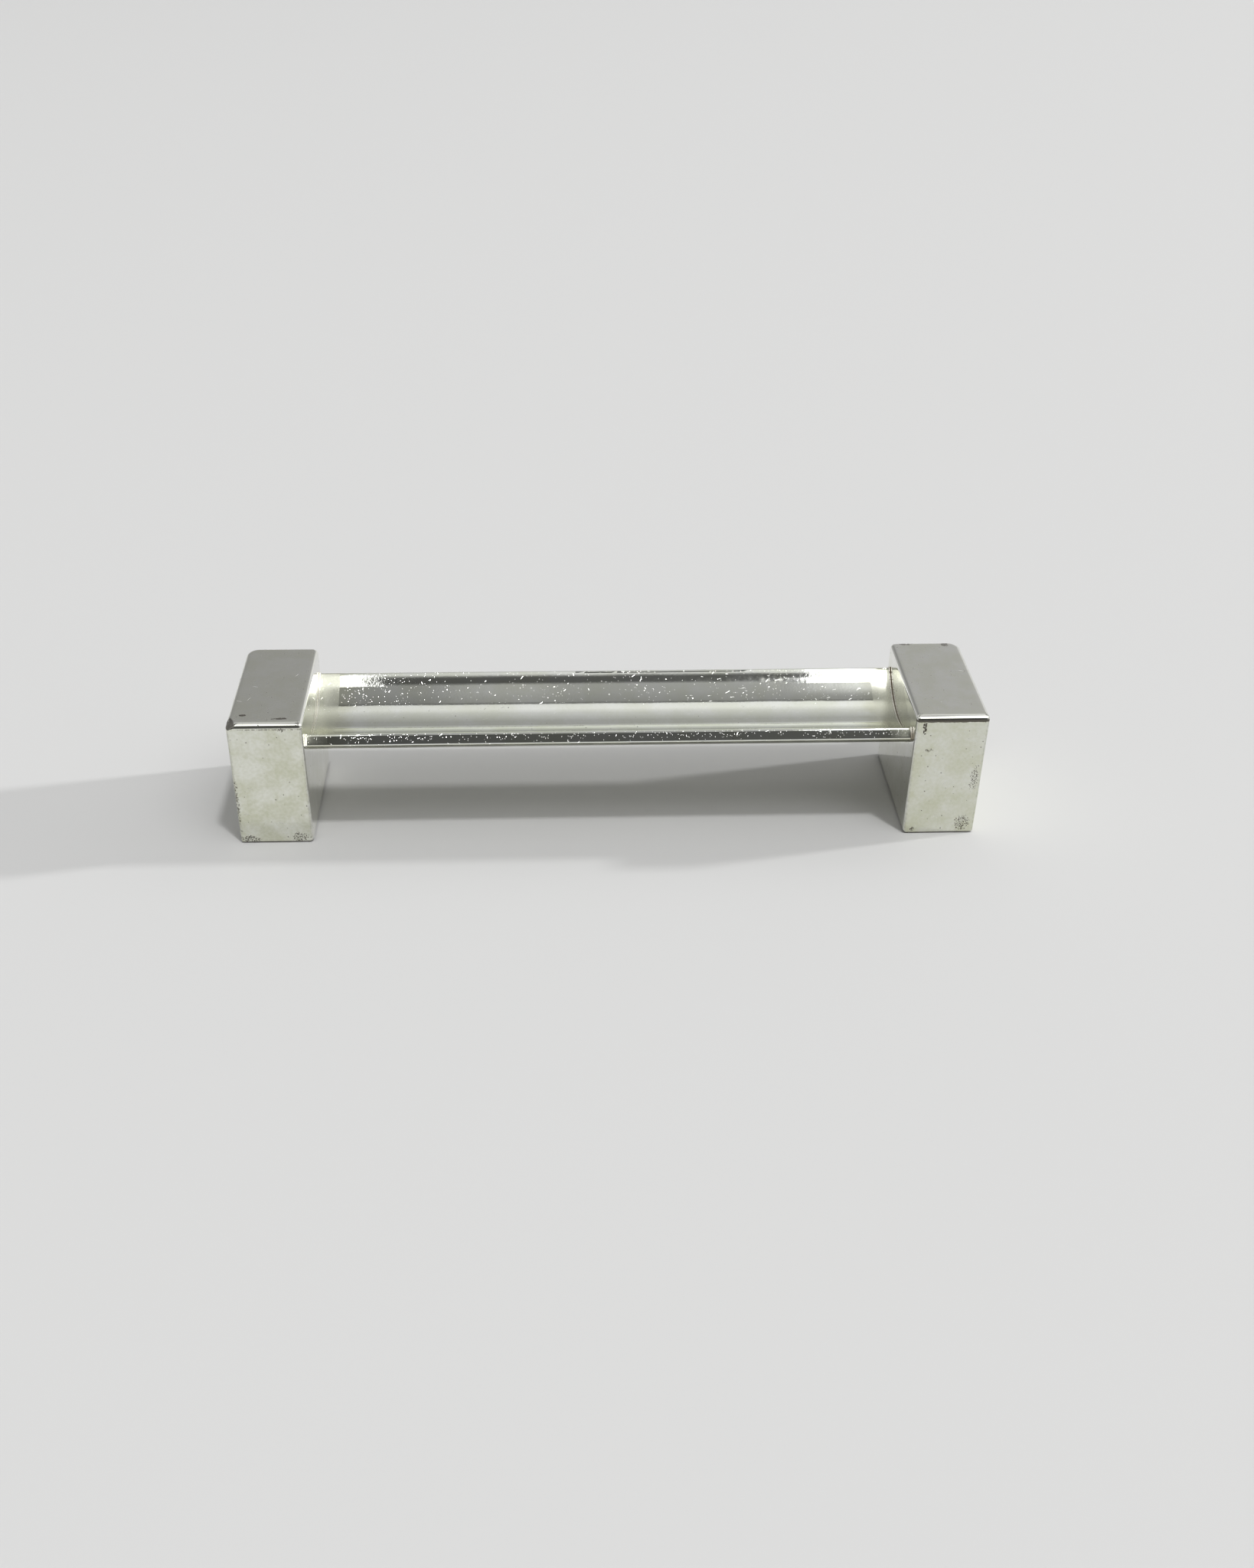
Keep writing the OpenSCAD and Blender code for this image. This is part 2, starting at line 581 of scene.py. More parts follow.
class Surface:
    """A bare metal surface while its material is put together, with its looks so far."""

    def __init__(self, name: str) -> None:
        """Starts a material of that name."""
        self.material = bpy.data.materials.new(name)
        self.material.use_nodes = True
        self.wiring = Wiring(self.material.node_tree)
        self.place = self.wiring.add("ShaderNodeTexCoord").outputs["Object"]
        self.colour: object = None
        self.straw: object = 0.0
        self.mottle: object = 0.0
        self.rough: object = 0.0
        self.scratched: object = 0.0
        self.height: object = 0.0

    @cached_property
    def normal(self) -> Socket:
        """Which way the surface faces."""
        return self.wiring.add("ShaderNodeNewGeometry").outputs["Normal"]

    def tarnish(self, width: float, softness: float) -> Socket:
        """Adds tarnish clouds and returns their mask."""
        return Effect.TARNISH.placed(self.wiring, Vector=self.place, Width=width, Softness=softness)

    def finished(self, normal: Socket) -> bpy.types.Material:
        """Joins the colour, the roughness and a bumped normal to the shader of a metal.

        Args:
            normal: The surface's normal.

        Returns:
            The finished material.
        """
        shader = self.material.node_tree.nodes["Principled BSDF"]
        shader.inputs["Metallic"].default_value = 1.0
        looks = {"Base Color": self.colour, "Roughness": self.rough, "Normal": normal}
        for name, socket in looks.items():
            self.wiring.feed(shader.inputs[name], socket)
        return self.material


@dataclass(frozen=True)
class PlateFinish:
    """Silver plate, worn, pitted and lightly tarnished."""

    name: str
    silver: Colour
    straw: Colour
    straw_share: float
    mottle: float
    roughness: float
    roughness_spread: float
    scratch_roughness: float
    pit_spacing: float
    pit_size: float
    pit_presence: float
    scratchings: tuple[Scratching, ...]
    cloud_width: float = 4.0 * MM
    cloud_softness: float = 0.20
    mottle_grain: float = 0.5 * MM
    mottle_softness: float = 0.16
    scratch_colour: Colour = (0.97, 0.97, 0.96)
    scratch_share: float = 0.8
    scratch_depth: float = 0.01 * MM
    pit_darkness: float = 0.6
    # Colour of pits, smudges and grime, also used for painted shade: the foot's contact shadow and the dark
    # lines under the top front edges.
    grime_and_shade: Colour = (0.07, 0.055, 0.045)
    grime_and_shade_roughness: float = 0.3

    def material(self, corner: Vector, inwards: int, smudges_and_shade: tuple[Smudge, ...]) -> bpy.types.Material:
        """Builds the material.

        Args:
            corner: The corner that smudge marks and painted shade lines are measured from.
            inwards: The sign of X from there towards the middle of the rest.
            smudges_and_shade: Smudge marks of this one piece, and its lines of painted shade.

        Returns:
            The new material.
        """
        surface = Surface(self.name)
        w, place = surface.wiring, surface.place
        flat = Effect.FLAT_MAP.placed(w, Vector=place, Normal=surface.normal)
        clouds = surface.tarnish(self.cloud_width, self.cloud_softness)
        surface.mottle = surface.tarnish(self.mottle_grain, self.mottle_softness)
        surface.scratched = scratched = self.scratched(surface, flat)
        pitted = Effect.PITS.placed(
            w, Map=flat, Spacing=self.pit_spacing, Size=self.pit_size, Presence=self.pit_presence
        )
        surface.rough = w.scaled(surface.mottle, self.roughness_spread, self.roughness)
        surface.straw = w.scaled(clouds, self.straw_share, w.times(surface.mottle, self.mottle))
        self.tone(surface, inwards)
        dark = w.times(pitted, self.pit_darkness)
        marks = [smudge.mask(w, place, corner, inwards) for smudge in smudges_and_shade]
        for mark in (*self.darkening(surface), *marks):
            dark = w.math("MAXIMUM", dark, mark)
        surface.colour = w.blend(w.times(scratched, self.scratch_share), surface.colour, self.scratch_colour)
        # Pits, smudges, grime and painted shade all darken towards one colour.
        surface.colour = w.blend(dark, surface.colour, self.grime_and_shade)
        surface.rough = w.scaled(dark, self.grime_and_shade_roughness, surface.rough)
        surface.rough = w.scaled(scratched, self.scratch_roughness, surface.rough)
        surface.height = w.scaled(pitted, -1.0, w.times(scratched, -1.0))
        return surface.finished(self.bumped(surface))

    def scratched(self, surface: Surface, flat: Socket) -> Socket:
        """Puts the sets of scratches together.

        Args:
            surface: The surface.
            flat: The flat map of its faces.

        Returns:
            A mask of all scratches.
        """
        mask: object = 0.0
        for one in self.scratchings:
            lines = one.mask(surface.wiring, surface.place, flat)
            mask = surface.wiring.math("MAXIMUM", mask, lines)
        return mask

    def tone(self, surface: Surface, inwards: int) -> None:
        """Gives clean plate its colour, with a share of straw in it."""
        surface.colour = surface.wiring.blend(surface.straw, self.silver, self.straw)

    def darkening(self, surface: Surface) -> list[Socket]:
        """Finds the masks of darkening beside the pits and smudge marks, painted contact shadow among them.
        Plain plate has none.
        """
        return []

    def bumped(self, surface: Surface) -> Socket:
        """Finds the normal of the worn surface from its height."""
        return surface.wiring.bump(surface.height, self.scratch_depth)


@dataclass(frozen=True)
class BlockPlate(PlateFinish):
    """Plate of an end block: dull on top, clear towards the bar, darker along the upright edges, with painted
    contact shadow at the foot.
    """

    name: str = "plated_block"
    silver: Colour = (0.85, 0.86, 0.79)
    straw: Colour = (0.66, 0.67, 0.53)
    straw_share: float = 0.75
    mottle: float = 0.34
    roughness: float = 0.16
    roughness_spread: float = 0.03
    scratch_roughness: float = 0.4
    pit_spacing: float = 0.9 * MM
    pit_size: float = 0.12
    pit_presence: float = 0.22
    scratchings: tuple[Scratching, ...] = (
        Scratching(0.5, 0.9, 18.0, 0.03, 0.22),
        Scratching(1.9, 1.2, 14.0, 0.025, 0.22),
    )
    cloud_width: float = 2.6 * MM
    mottle_grain: float = 0.42 * MM
    top_silver: Colour = (0.80, 0.80, 0.765)
    top_roughness: float = 0.24
    top_step: Span = (0.75, 0.95)
    bar_side_silver: Colour = (0.92, 0.92, 0.89)
    bar_side_roughness: float = 0.03
    bar_side_step: Span = (0.3, 0.9)
    calm_spread: float = 0.02
    clear_share: float = 0.6
    rubbed_edge_step: Span = (0.1, 0.4)
    rubbed_share: float = 0.8
    rubbed_roughness: float = 0.07
    # A darker, ragged line along the upright edges.
    edge_line_scale: float = 2600.0
    edge_line_step: Step = (0.40, 0.70, 0.15, 1.0)
    upright_step: Step = (0.1, 0.3, 1.0, 0.0)
    edge_darkening: float = 0.22
    # Painted contact shadow where the foot's rounding faces down to the floor.
    foot_step: Span = (-0.15, -0.6)
    foot_contact_shade: float = 0.75

    def tone(self, surface: Surface, inwards: int) -> None:
        """Gives the top, the face towards the bar, and the other faces their colour and roughness.

        Args:
            surface: The surface.
            inwards: The sign of X towards the middle of the rest.
        """
        w = surface.wiring
        x, _, z = w.split(surface.normal)
        up = w.fade(z, *self.top_step)
        faces_bar = w.fade(w.times(x, float(inwards)), *self.bar_side_step)
        rubbed = w.times(Effect.EDGES.placed(w, Normal=surface.normal), w.fade(z, *self.rubbed_edge_step))
        silver = w.blend(faces_bar, w.blend(up, self.silver, self.top_silver), self.bar_side_silver)
        straw = w.dimmed(surface.straw, rubbed, self.rubbed_share)
        straw = w.dimmed(straw, w.math("MAXIMUM", faces_bar, up), self.clear_share)
        surface.colour = w.blend(straw, silver, self.straw)
        rough = w.scaled(up, self.top_roughness - self.roughness, surface.rough)
        calm = w.scaled(surface.mottle, self.calm_spread, self.bar_side_roughness)
        surface.rough = w.mix(rubbed, w.mix(faces_bar, rough, calm), self.rubbed_roughness)

    def darkening(self, surface: Surface) -> list[Socket]:
        """Finds the darkening along the upright edges, and the painted contact shadow under the foot.

        Args:
            surface: The surface.

        Returns:
            The mask of each.
        """
        w = surface.wiring
        z = w.split(surface.normal)[2]
        # Darker, ragged line along the upright edges.
        upright = w.fade(w.size(z), *self.upright_step)
        upright = w.times(Effect.EDGES.placed(w, Normal=surface.normal), upright)
        ragged = w.fade(w.noise(surface.place, self.edge_line_scale, GRAINY), *self.edge_line_step)
        along_edges = w.times(ragged, w.times(upright, self.edge_darkening))
        # The second mask is painted contact shadow under the foot.
        return [along_edges, w.times(w.fade(z, *self.foot_step), self.foot_contact_shade)]


@dataclass(frozen=True)
class BarPlate(PlateFinish):
    """Plate of the trough bar: bright and scratched, tinted beside the joints, with painted shade underneath.

    An edge of a stain or a band is given by how far from the joint it lies, and by its softness.
    Bright scratches are shallow facets here, which send the light of one soft box to the front.
    """

    name: str = "plated_bar"
    silver: Colour = (0.89, 0.905, 0.875)
    straw: Colour = (0.76, 0.785, 0.64)
    straw_share: float = 0.45
    mottle: float = 0.06
    roughness: float = 0.028
    roughness_spread: float = 0.02
    scratch_roughness: float = 0.24
    pit_spacing: float = 1.6 * MM
    pit_size: float = 0.06
    pit_presence: float = 0.25
    scratchings: tuple[Scratching, ...] = (
        Scratching(1.1, 0.8, 9.0, 0.042, 0.13),
        Scratching(0.75, 0.7, 7.0, 0.045, 0.12),
        Scratching(-0.5, 0.9, 6.0, 0.036, 0.12),
        Scratching(0.95, 0.7, 4.0, 0.042, 0.12),
        Scratching(-0.8, 0.5, 2.6, 0.05, 0.08),
        Scratching(0.2, 0.2, 1.5, 0.11, 0.08),
        Scratching(0.6, 0.45, 2.0, 0.075, 0.20, on_rims=True),
        Scratching(0.1, 0.16, 1.4, 0.16, 0.22, on_rims=True),
        Scratching(1.38, 0.5, 14.0, 0.04, 0.26, stretch=(21.0, 13.0)),
        Scratching(1.62, 0.45, 12.0, 0.035, 0.22, stretch=(17.0, 12.0)),
        Scratching(1.2, 0.24, 1.5, 0.12, 0.13, stretch=(-28.5, 6.0)),
    )
    facet: Place = (0.19, -0.62, 0.76)
    facet_step: Step = (-0.15, -0.45, 0.12, 1.0)
    ripple: float = 0.16
    ripple_scale: float = 3500.0
    # Painted shade: dark colour of the bar's lower face, standing for its reflection of the shadowed floor.
    underside_shade: Colour = (0.30, 0.30, 0.22)
    underside_shade_step: Span = (0.1, -0.4)
    joint: float = 35.95 * MM
    stain: Colour = (0.64, 0.64, 0.48)
    stain_share: float = 0.5
    stain_edge: Span = (3.6 * MM, 1.6 * MM)
    band_edge: Span = (2.4 * MM, 0.05 * MM)
    band_roughness: Span = (0.13, 0.23)

    def scratched(self, surface: Surface, flat: Socket) -> Socket:
        """Puts the sets of scratches together, and weakens them where the bar doesn't face the front."""
        shown = surface.wiring.fade(surface.wiring.split(surface.normal)[1], *self.facet_step)
        return surface.wiring.times(super().scratched(surface, flat), shown)

    def tone(self, surface: Surface, inwards: int) -> None:
        """Gives the trough, the painted shade on its lower face, and the bands at both joints their colour
        and roughness.

        Args:
            surface: The surface.
            inwards: The sign of X towards the middle of the rest.
        """
        w = surface.wiring
        stained, in_band = (
            Effect.JOINT_BAND.placed(w, Vector=surface.place, Joint=self.joint, Reach=reach, Softness=soft)
            for reach, soft in (self.stain_edge, self.band_edge)
        )
        # Painted shade where the surface faces down.
        below = w.fade(w.split(surface.normal)[2], *self.underside_shade_step)
        colour = w.blend(surface.straw, w.blend(below, self.silver, self.underside_shade), self.straw)
        surface.colour = w.blend(w.times(stained, self.stain_share), colour, self.stain)
        from_middle = w.size(w.split(surface.place)[0])
        nearer = w.fade(from_middle, self.joint - self.band_edge[0], self.joint)
        start, end = self.band_roughness
        surface.rough = w.scaled(in_band, w.scaled(nearer, end - start, start), surface.rough)

    def bumped(self, surface: Surface) -> Socket:
        """Finds the normal of the rippled surface, with the facets of its scratches.

        Args:
            surface: The surface.

        Returns:
            The normal.
        """
        w = surface.wiring
        ripple = w.noise(surface.place, self.ripple_scale, SMOOTH)
        surface.height = w.scaled(ripple, self.ripple, surface.height)
        return w.mixed(Mixed.VECTORS, surface.scratched, super().bumped(surface), self.facet)


@dataclass(frozen=True)
class SolderFinish:
    """Silver solder polished with the bar, with a rough streak against the block: lighter by default as a
    painted highlight, darker as tarnish where no cloth reaches.
    """

    name: str
    polished: Colour = (0.86, 0.85, 0.77)
    dull: Colour = (0.78, 0.76, 0.66)
    dull_share: float = 0.35
    dull_spread: float = 0.08
    cloud_width: float = 0.4 * MM
    cloud_softness: float = 0.2
    # Painted highlight: the default streak is lighter, where the solder fillet catches the light.
    streak: Colour = (0.90, 0.89, 0.78)
    streak_width: float = 0.08 * MM
    streak_core: float = 0.7
    streak_roughness: float = 0.30
    front_to_rear: Step = (-3.0 * MM, 6.0 * MM, 0.45, 1.0)
    ragged: float = 0.12 * MM
    rim_step: Span = (-7.6 * MM, -8.0 * MM)
    rim_tarnish: float = 0.0
    roughness: float = 0.14
    grain_scale: float = 7000.0
    grain_depth: float = 0.006 * MM
    grain_strength: float = 0.5

    def material(self, block_x: float) -> bpy.types.Material:
        """Builds the material.

        Args:
            block_x: X of the block's face, which the streak keeps to.

        Returns:
            The new material.
        """
        surface = Surface(self.name)
        w = surface.wiring
        clouds = surface.tarnish(self.cloud_width, self.cloud_softness)
        grain = w.noise(surface.place, self.grain_scale, GRAINY)
        x, y, _ = w.split(surface.place)
        away = w.size(w.math("SUBTRACT", x, block_x))
        away = w.scaled(w.math("SUBTRACT", grain, 0.5), self.ragged, away)
        streak = w.fade(away, self.streak_core * self.streak_width, self.streak_width, 1.0, 0.0)
        streak = w.times(streak, w.fade(y, *self.front_to_rear))
        streak = w.math("MAXIMUM", streak, w.times(w.fade(y, *self.rim_step), self.rim_tarnish))
        colour = w.blend(streak, self.polished, self.streak)
        surface.colour = w.blend(w.times(clouds, self.dull_share), colour, self.dull)
        rough = w.mix(streak, self.roughness, self.streak_roughness)
        surface.rough = w.scaled(clouds, self.dull_spread, rough)
        return surface.finished(w.bump(grain, self.grain_depth, self.grain_strength))


@dataclass
class Piece:
    """A piece of the rest, modelled over the CAD solid whose place it takes."""

    NODE = ""

    node: str = field(init=False)
    low: Vector = field(init=False)
    high: Vector = field(init=False)
    shape: Shape = field(init=False)

    def __post_init__(self) -> None:
        """Names the CAD node that the piece stands for, and reads where its solid lies."""
        self.node = self.NODE.format(self)
        self.low, self.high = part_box(self.node)

    def stand_in(self, material: bpy.types.Material, slot: str) -> None:
        """Dresses the finished shape and lets it stand for the CAD node.

        Args:
            material: Its material.
            slot: The name of its material slot; not used.
        """
        piece = self.shape.object
        piece.data.materials.append(material)
        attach(piece, BODY)
        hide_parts(self.node)
        log.info("%s: %d faces", piece.name, len(piece.data.polygons))


@dataclass
class EndPiece(Piece):
    """A piece at one end of the rest."""

    side: Side

    @property
    def outer_x(self) -> float:
        """X of the face away from the middle of the rest."""
        return self.low.x if self.side is Side.LEFT else self.high.x

    @property
    def inner_x(self) -> float:
        """X of the face towards the middle."""
        return self.high.x if self.side is Side.LEFT else self.low.x


@dataclass
class EndBlock(EndPiece):
    """One solid end block, with its edges eased and its faces softened by polishing."""

    NODE = "{0.side.word}_block"

    smudges_and_shade: tuple[Smudge, ...]
    worn_corner: Place | None = None
    front_round: float = 0.4 * MM
    rear_outer_round: float = 1.5 * MM
    rear_inner_round: float = 0.8 * MM
    top_round: float = 0.5 * MM
    top_front_round: float = 0.78 * MM
    foot_round: float = 0.3 * MM
    foot_inner_round: float = 0.7 * MM
    upright_segments: int = 8
    outline_segments: int = 7
    grid: float = 0.4 * MM
    swell_width: float = 6.0 * MM
    swell_height: float = 0.03 * MM

    def upright_round(self, start: Vector, end: Vector) -> float:
        """Finds how far an upright edge is rounded.

        Args:
            start: One end of the edge.
            end: Its other end.

        Returns:
            The radius, or 0 for an edge that lies level.
        """
        if abs(start.z - end.z) < TOUCH:
            return 0.0
        if start.y < 0:
            return self.front_round
        at_inner = abs(start.x - self.inner_x) < TOUCH
        return self.rear_inner_round if at_inner else self.rear_outer_round

    def outline_round(self, start: Vector, end: Vector) -> float:
        """Finds how far an edge round the top or the foot is rounded.

        Args:
            start: One end of the edge.
            end: Its other end.

        Returns:
            The radius, or 0 for an edge on the sides.
        """
        along = end - start
        if min(start.z, end.z) > self.high.z - TOUCH:
            facing = abs(along.x) / along.length if start.y + end.y < 0 else 0.0
            return self.top_round + (self.top_front_round - self.top_round) * facing**2
        if max(start.z, end.z) > self.low.z + TOUCH:
            return 0.0
        near_bar = self.side.value * (start.x + end.x) < self.side.value * (self.low.x + self.high.x)
        facing = abs(along.y) / along.length if near_bar else 0.0
        return self.foot_round + (self.foot_inner_round - self.foot_round) * facing**2

    def ease_edges(self) -> None:
        """Rounds the upright edges first, then the outlines of the top and the foot."""
        mesh = self.shape.object.data
        mesh.attributes.new("bevel_weight_edge", "FLOAT", "EDGE")
        rules = (self.upright_round, self.upright_segments), (self.outline_round, self.outline_segments)
        for rule, segments in rules:
            weights = mesh.attributes["bevel_weight_edge"]
            points = [vert.co.copy() for vert in mesh.vertices]
            radii = [rule(*(points[i] for i in edge.vertices)) for edge in mesh.edges]
            widest = max(radii)
            for weight, radius in zip(weights.data, radii):
                weight.value = radius / widest
            self.shape.apply(
                "BEVEL", limit_method="WEIGHT", width=widest, segments=segments,
                use_clamp_overlap=False,
            )

    def wear_corner(self) -> None:
        """Takes the top of the outer front corner off, as a knock and years of rubbing did."""
        x, y, z = (part * MM for part in self.worn_corner)
        normal = Vector((self.side.value / x, -1 / y, 1 / z)).normalized()
        on_plane = Vector((self.outer_x, self.low.y, self.high.z)) + Vector((0, y, 0))
        with self.shape.editing():
            bpy.ops.mesh.select_all(action="SELECT")
            bpy.ops.mesh.bisect(plane_co=on_plane, plane_no=normal, use_fill=True, clear_outer=True)

    def make(self, finish: BlockPlate) -> None:
        """Models the block over its CAD solid and dresses it.

        Args:
            finish: Its silver plate.
        """
        middle = (self.low + self.high) / 2
        self.shape = Shape("cube", f"{self.node}_plated", self.high - self.low, size=1, location=middle)
        self.ease_edges()
        if self.worn_corner:
            self.wear_corner()
        for axis in Axis:
            self.shape.slice_across(axis, self.low[axis.value], self.high[axis.value], self.grid)
        self.shape.face_outwards()
        self.shape.roughen(self.swell_width, self.swell_height)
        self.shape.smooth()
        corner = Vector((self.outer_x, self.low.y, self.low.z))
        self.stand_in(finish.material(corner, -self.side.value, self.smudges_and_shade), "plated_block")


@dataclass
class TroughBar(Piece):
    """The trough-shaped bar, spun round the trough's own axis."""

    NODE = "trough_bar"

    smudges_and_shade: tuple[Smudge, ...]
    wall: float = 1.45 * MM
    hollow_radius: float = 10.2 * MM
    rim_round: float = 0.3 * MM
    rear_hollow_round: float = 0.6 * MM
    rim_segments: int = 5
    rim_turn: float = 0.14
    arc_steps: int = 72
    grid: float = 0.6 * MM
    swells: tuple[Span, ...] = ((9.0 * MM, 0.03 * MM), (1.6 * MM, 0.005 * MM))

    @property
    def outer_radius(self) -> float:
        """Radius of the bar's lower face."""
        return self.hollow_radius + self.wall

    @property
    def axis_height(self) -> float:
        """Height of the trough's axis."""
        return self.low.z + self.outer_radius

    @property
    def half_angle(self) -> float:
        """Angle from the bottom of the trough to the end of a rim."""
        radius = self.outer_radius - self.rim_round
        return math.asin((self.high.y - self.rim_round) / radius) + math.asin(self.rim_round / radius)

    def at(self, x: float, radius: float, angle: float) -> Vector:
        """Finds a place by its X, its distance from the trough's axis, and its angle from straight down."""
        return Vector((x, radius * math.sin(angle), self.axis_height - radius * math.cos(angle)))

    def spin_section(self, name: str, low_x: float, high_x: float, spread: float = 0.0) -> Shape:
        """Spins a stretch of the bar, square at its rims, from a strip at the front rim.

        Args:
            name: What the piece is called.
            low_x: Where the stretch starts along the rest.
            high_x: Where it ends.
            spread: How far it stands past the bar's section all round.

        Returns:
            The closed piece.
        """
        half_angle = self.half_angle + math.asin(spread / 2 / self.outer_radius)
        middle = self.at((low_x + high_x) / 2, self.hollow_radius + self.wall / 2, -half_angle)
        scale = (high_x - low_x, self.wall + 2 * spread, 1)
        turn = (-math.pi / 2 - half_angle, 0, 0)
        piece = Shape("plane", name, scale, size=1, location=middle, rotation=turn)
        centre = (0, 0, self.axis_height)
        with piece.editing("FACE"):
            bpy.ops.mesh.select_all(action="SELECT")
            bpy.ops.mesh.spin(steps=self.arc_steps, angle=2 * half_angle, center=centre, axis=(-1, 0, 0))
        piece.face_outwards()
        return piece

    def rim_middle(self, side: int) -> Vector:
        """Finds the middle of a rim's narrow face, at the front for -1 and at the rear for 1."""
        return self.at(0.0, self.hollow_radius + self.wall / 2, side * self.half_angle)

    def turn_front_rim(self) -> None:
        """Turns the front rim's narrow face a little further down, as a file leaves it."""
        middle = self.rim_middle(-1)
        across = (self.at(0.0, self.outer_radius, -self.half_angle) - middle).normalized()
        with self.shape.editing():
            self.shape.pick_edges(lambda *ends: all(abs((p - middle).cross(across).x) < TOUCH for p in ends))
            bpy.ops.transform.rotate(value=-self.rim_turn, orient_axis="X", center_override=middle)

    def round_rims(self) -> None:
        """Rounds the four long edges of the rims, the rear one inside the hollow the most."""
        for radius, side, rounding in (
            (self.hollow_radius, -1, self.rim_round),
            (self.outer_radius, -1, self.rim_round),
            (self.outer_radius, 1, self.rim_round),
            (self.hollow_radius, 1, self.rear_hollow_round),
        ):
            middle = self.rim_middle(side)
            turn = Matrix.Rotation(self.rim_turn if side < 0 else 0.0, 3, "X")
            corner = middle + turn @ (self.at(0.0, radius, side * self.half_angle) - middle)
            with self.shape.editing():
                self.shape.pick_edges(lambda *ends: all((p - corner).yz.length < TOUCH for p in ends))
                bpy.ops.mesh.bevel(offset=rounding, segments=self.rim_segments, profile=0.5, affect="EDGES")

    def make(self, finish: BarPlate) -> None:
        """Models the bar over its CAD solid and dresses it.

        Args:
            finish: Its silver plate.
        """
        self.shape = self.spin_section("trough_bar_plated", self.low.x, self.high.x)
        self.turn_front_rim()
        self.round_rims()
        self.shape.slice_across(Axis.X, self.low.x, self.high.x, self.grid)
        for width, height in self.swells:
            self.shape.roughen(width, height)
        self.shape.keep_flats()
        self.stand_in(finish.material(self.high, -Side.RIGHT.value, self.smudges_and_shade), "plated_bar")


@dataclass
class SolderSeam(EndPiece):
    """Solder between a block and the bar, with the small beads that ran out of the joint."""

    NODE = "{0.side.word}_solder_seam"
    BALL = {"segments": 16, "ring_count": 8}

    bar: TroughBar
    bead_count: int = 0
    bead_radius: float = 0.06 * MM
    bead_spread: float = 0.4
    bead_shape: Place = (1.3, 1.0, 0.8)
    bead_reach: Span = (-0.25, 1.0)
    bead_sway: float = 0.012
    bead_waves: tuple[Span, ...] = ((7.3, 0.0), (2.9, 1.0))
    bead_size_wave: Span = (4.7, 0.6)
    swell_width: float = 0.5 * MM
    swell_height: float = 0.005 * MM
    spread: float = 0.04 * MM
    slope_share: float = 0.95
    slope_segments: int = 4
    slope_profile: float = 0.2
    voxel: float = 0.04 * MM

    def draw_in(self) -> None:
        """Draws the solder in towards the bar, so that it fills the corner with a hollow slope."""
        axis = Vector((self.inner_x, 0, self.bar.axis_height))
        radii = (self.bar.hollow_radius - self.spread, self.bar.outer_radius + self.spread)

        def runs_round(start: Vector, end: Vector) -> bool:
            """Says whether an edge runs round the seam on the bar's side."""
            ends = (start - axis, end - axis)
            on_side = all(abs(p.x) < TOUCH for p in ends)
            return on_side and any(all(abs(p.yz.length - r) < TOUCH for p in ends) for r in radii)

        with self.shape.editing():
            self.shape.pick_edges(runs_round)
            bpy.ops.mesh.bevel(
                offset=self.slope_share * self.spread, segments=self.slope_segments,
                profile=self.slope_profile, affect="EDGES",
            )

    def add_beads(self) -> None:
        """Sets uneven beads of solder along the joint's line and joins them to the seam."""
        first, last = self.bead_reach
        size_pace, size_start = self.bead_size_wave
        beads = []
        for i in range(self.bead_count):
            share = (i + 0.5) / self.bead_count
            sway = sum(math.sin(pace * i + start) for pace, start in self.bead_waves) / 2
            angle = self.bar.half_angle * (first + (last - first) * share) + self.bead_sway * sway
            radius = self.bead_radius * (1 + self.bead_spread * math.sin(size_pace * i + size_start))
            place = self.bar.at((self.low.x + self.high.x) / 2, self.bar.hollow_radius, angle)
            ball = {"radius": radius, "location": place, **self.BALL}
            beads.append(Shape("uv_sphere", f"bead_{i}", self.bead_shape, **ball))
        self.shape.select(*beads)
        bpy.ops.object.join()

    def make(self, finish: SolderFinish) -> None:
        """Models the seam over its CAD solid, melts the beads into it, and dresses it.

        Args:
            finish: The solder's look.
        """
        self.shape = self.bar.spin_section(f"{self.node}_run", self.low.x, self.high.x, self.spread)
        self.draw_in()
        if self.bead_count:
            self.add_beads()
        self.shape.apply("REMESH", mode="VOXEL", voxel_size=self.voxel)
        self.shape.apply("SMOOTH", factor=0.5, iterations=2)
        self.shape.roughen(self.swell_width, self.swell_height)
        self.shape.smooth()
        self.stand_in(finish.material(self.outer_x), "silver_solder")


@dataclass(frozen=True)
class PhotoCamera:
    """The camera where the photograph was taken, worked out from the edges of the blocks."""

    place: Place = (-7.164, -173.159, 116.678)
    yaw: float = 0.0552
    pitch: float = 0.5852
    roll: float = 0.0173
    focal_pixels: float = 2136.7
    frame_width: float = 1638.0
    sensor_width: float = 36.0
    clip_start: float = 10 * MM
    clip_end: float = 20.0

    def set_up(self) -> None:
        """Adds the camera and makes it the scene's own."""
        data = bpy.data.cameras.new("camera")
        data.sensor_fit = "HORIZONTAL"
        data.sensor_width = self.sensor_width
        data.lens = self.sensor_width * self.focal_pixels / self.frame_width
        data.clip_start = self.clip_start
        data.clip_end = self.clip_end
        camera = bpy.data.objects.new("camera", data)
        turned = Matrix.Identity(4)
        for angle, axis in ((-self.yaw, "Z"), (math.pi / 2 - self.pitch, "X"), (self.roll, "Z")):
            turned = turned @ Matrix.Rotation(angle, 4, axis)
        camera.matrix_world = Matrix.Translation(Vector(self.place) * MM) @ turned
        bpy.context.scene.collection.objects.link(camera)
        bpy.context.scene.camera = camera


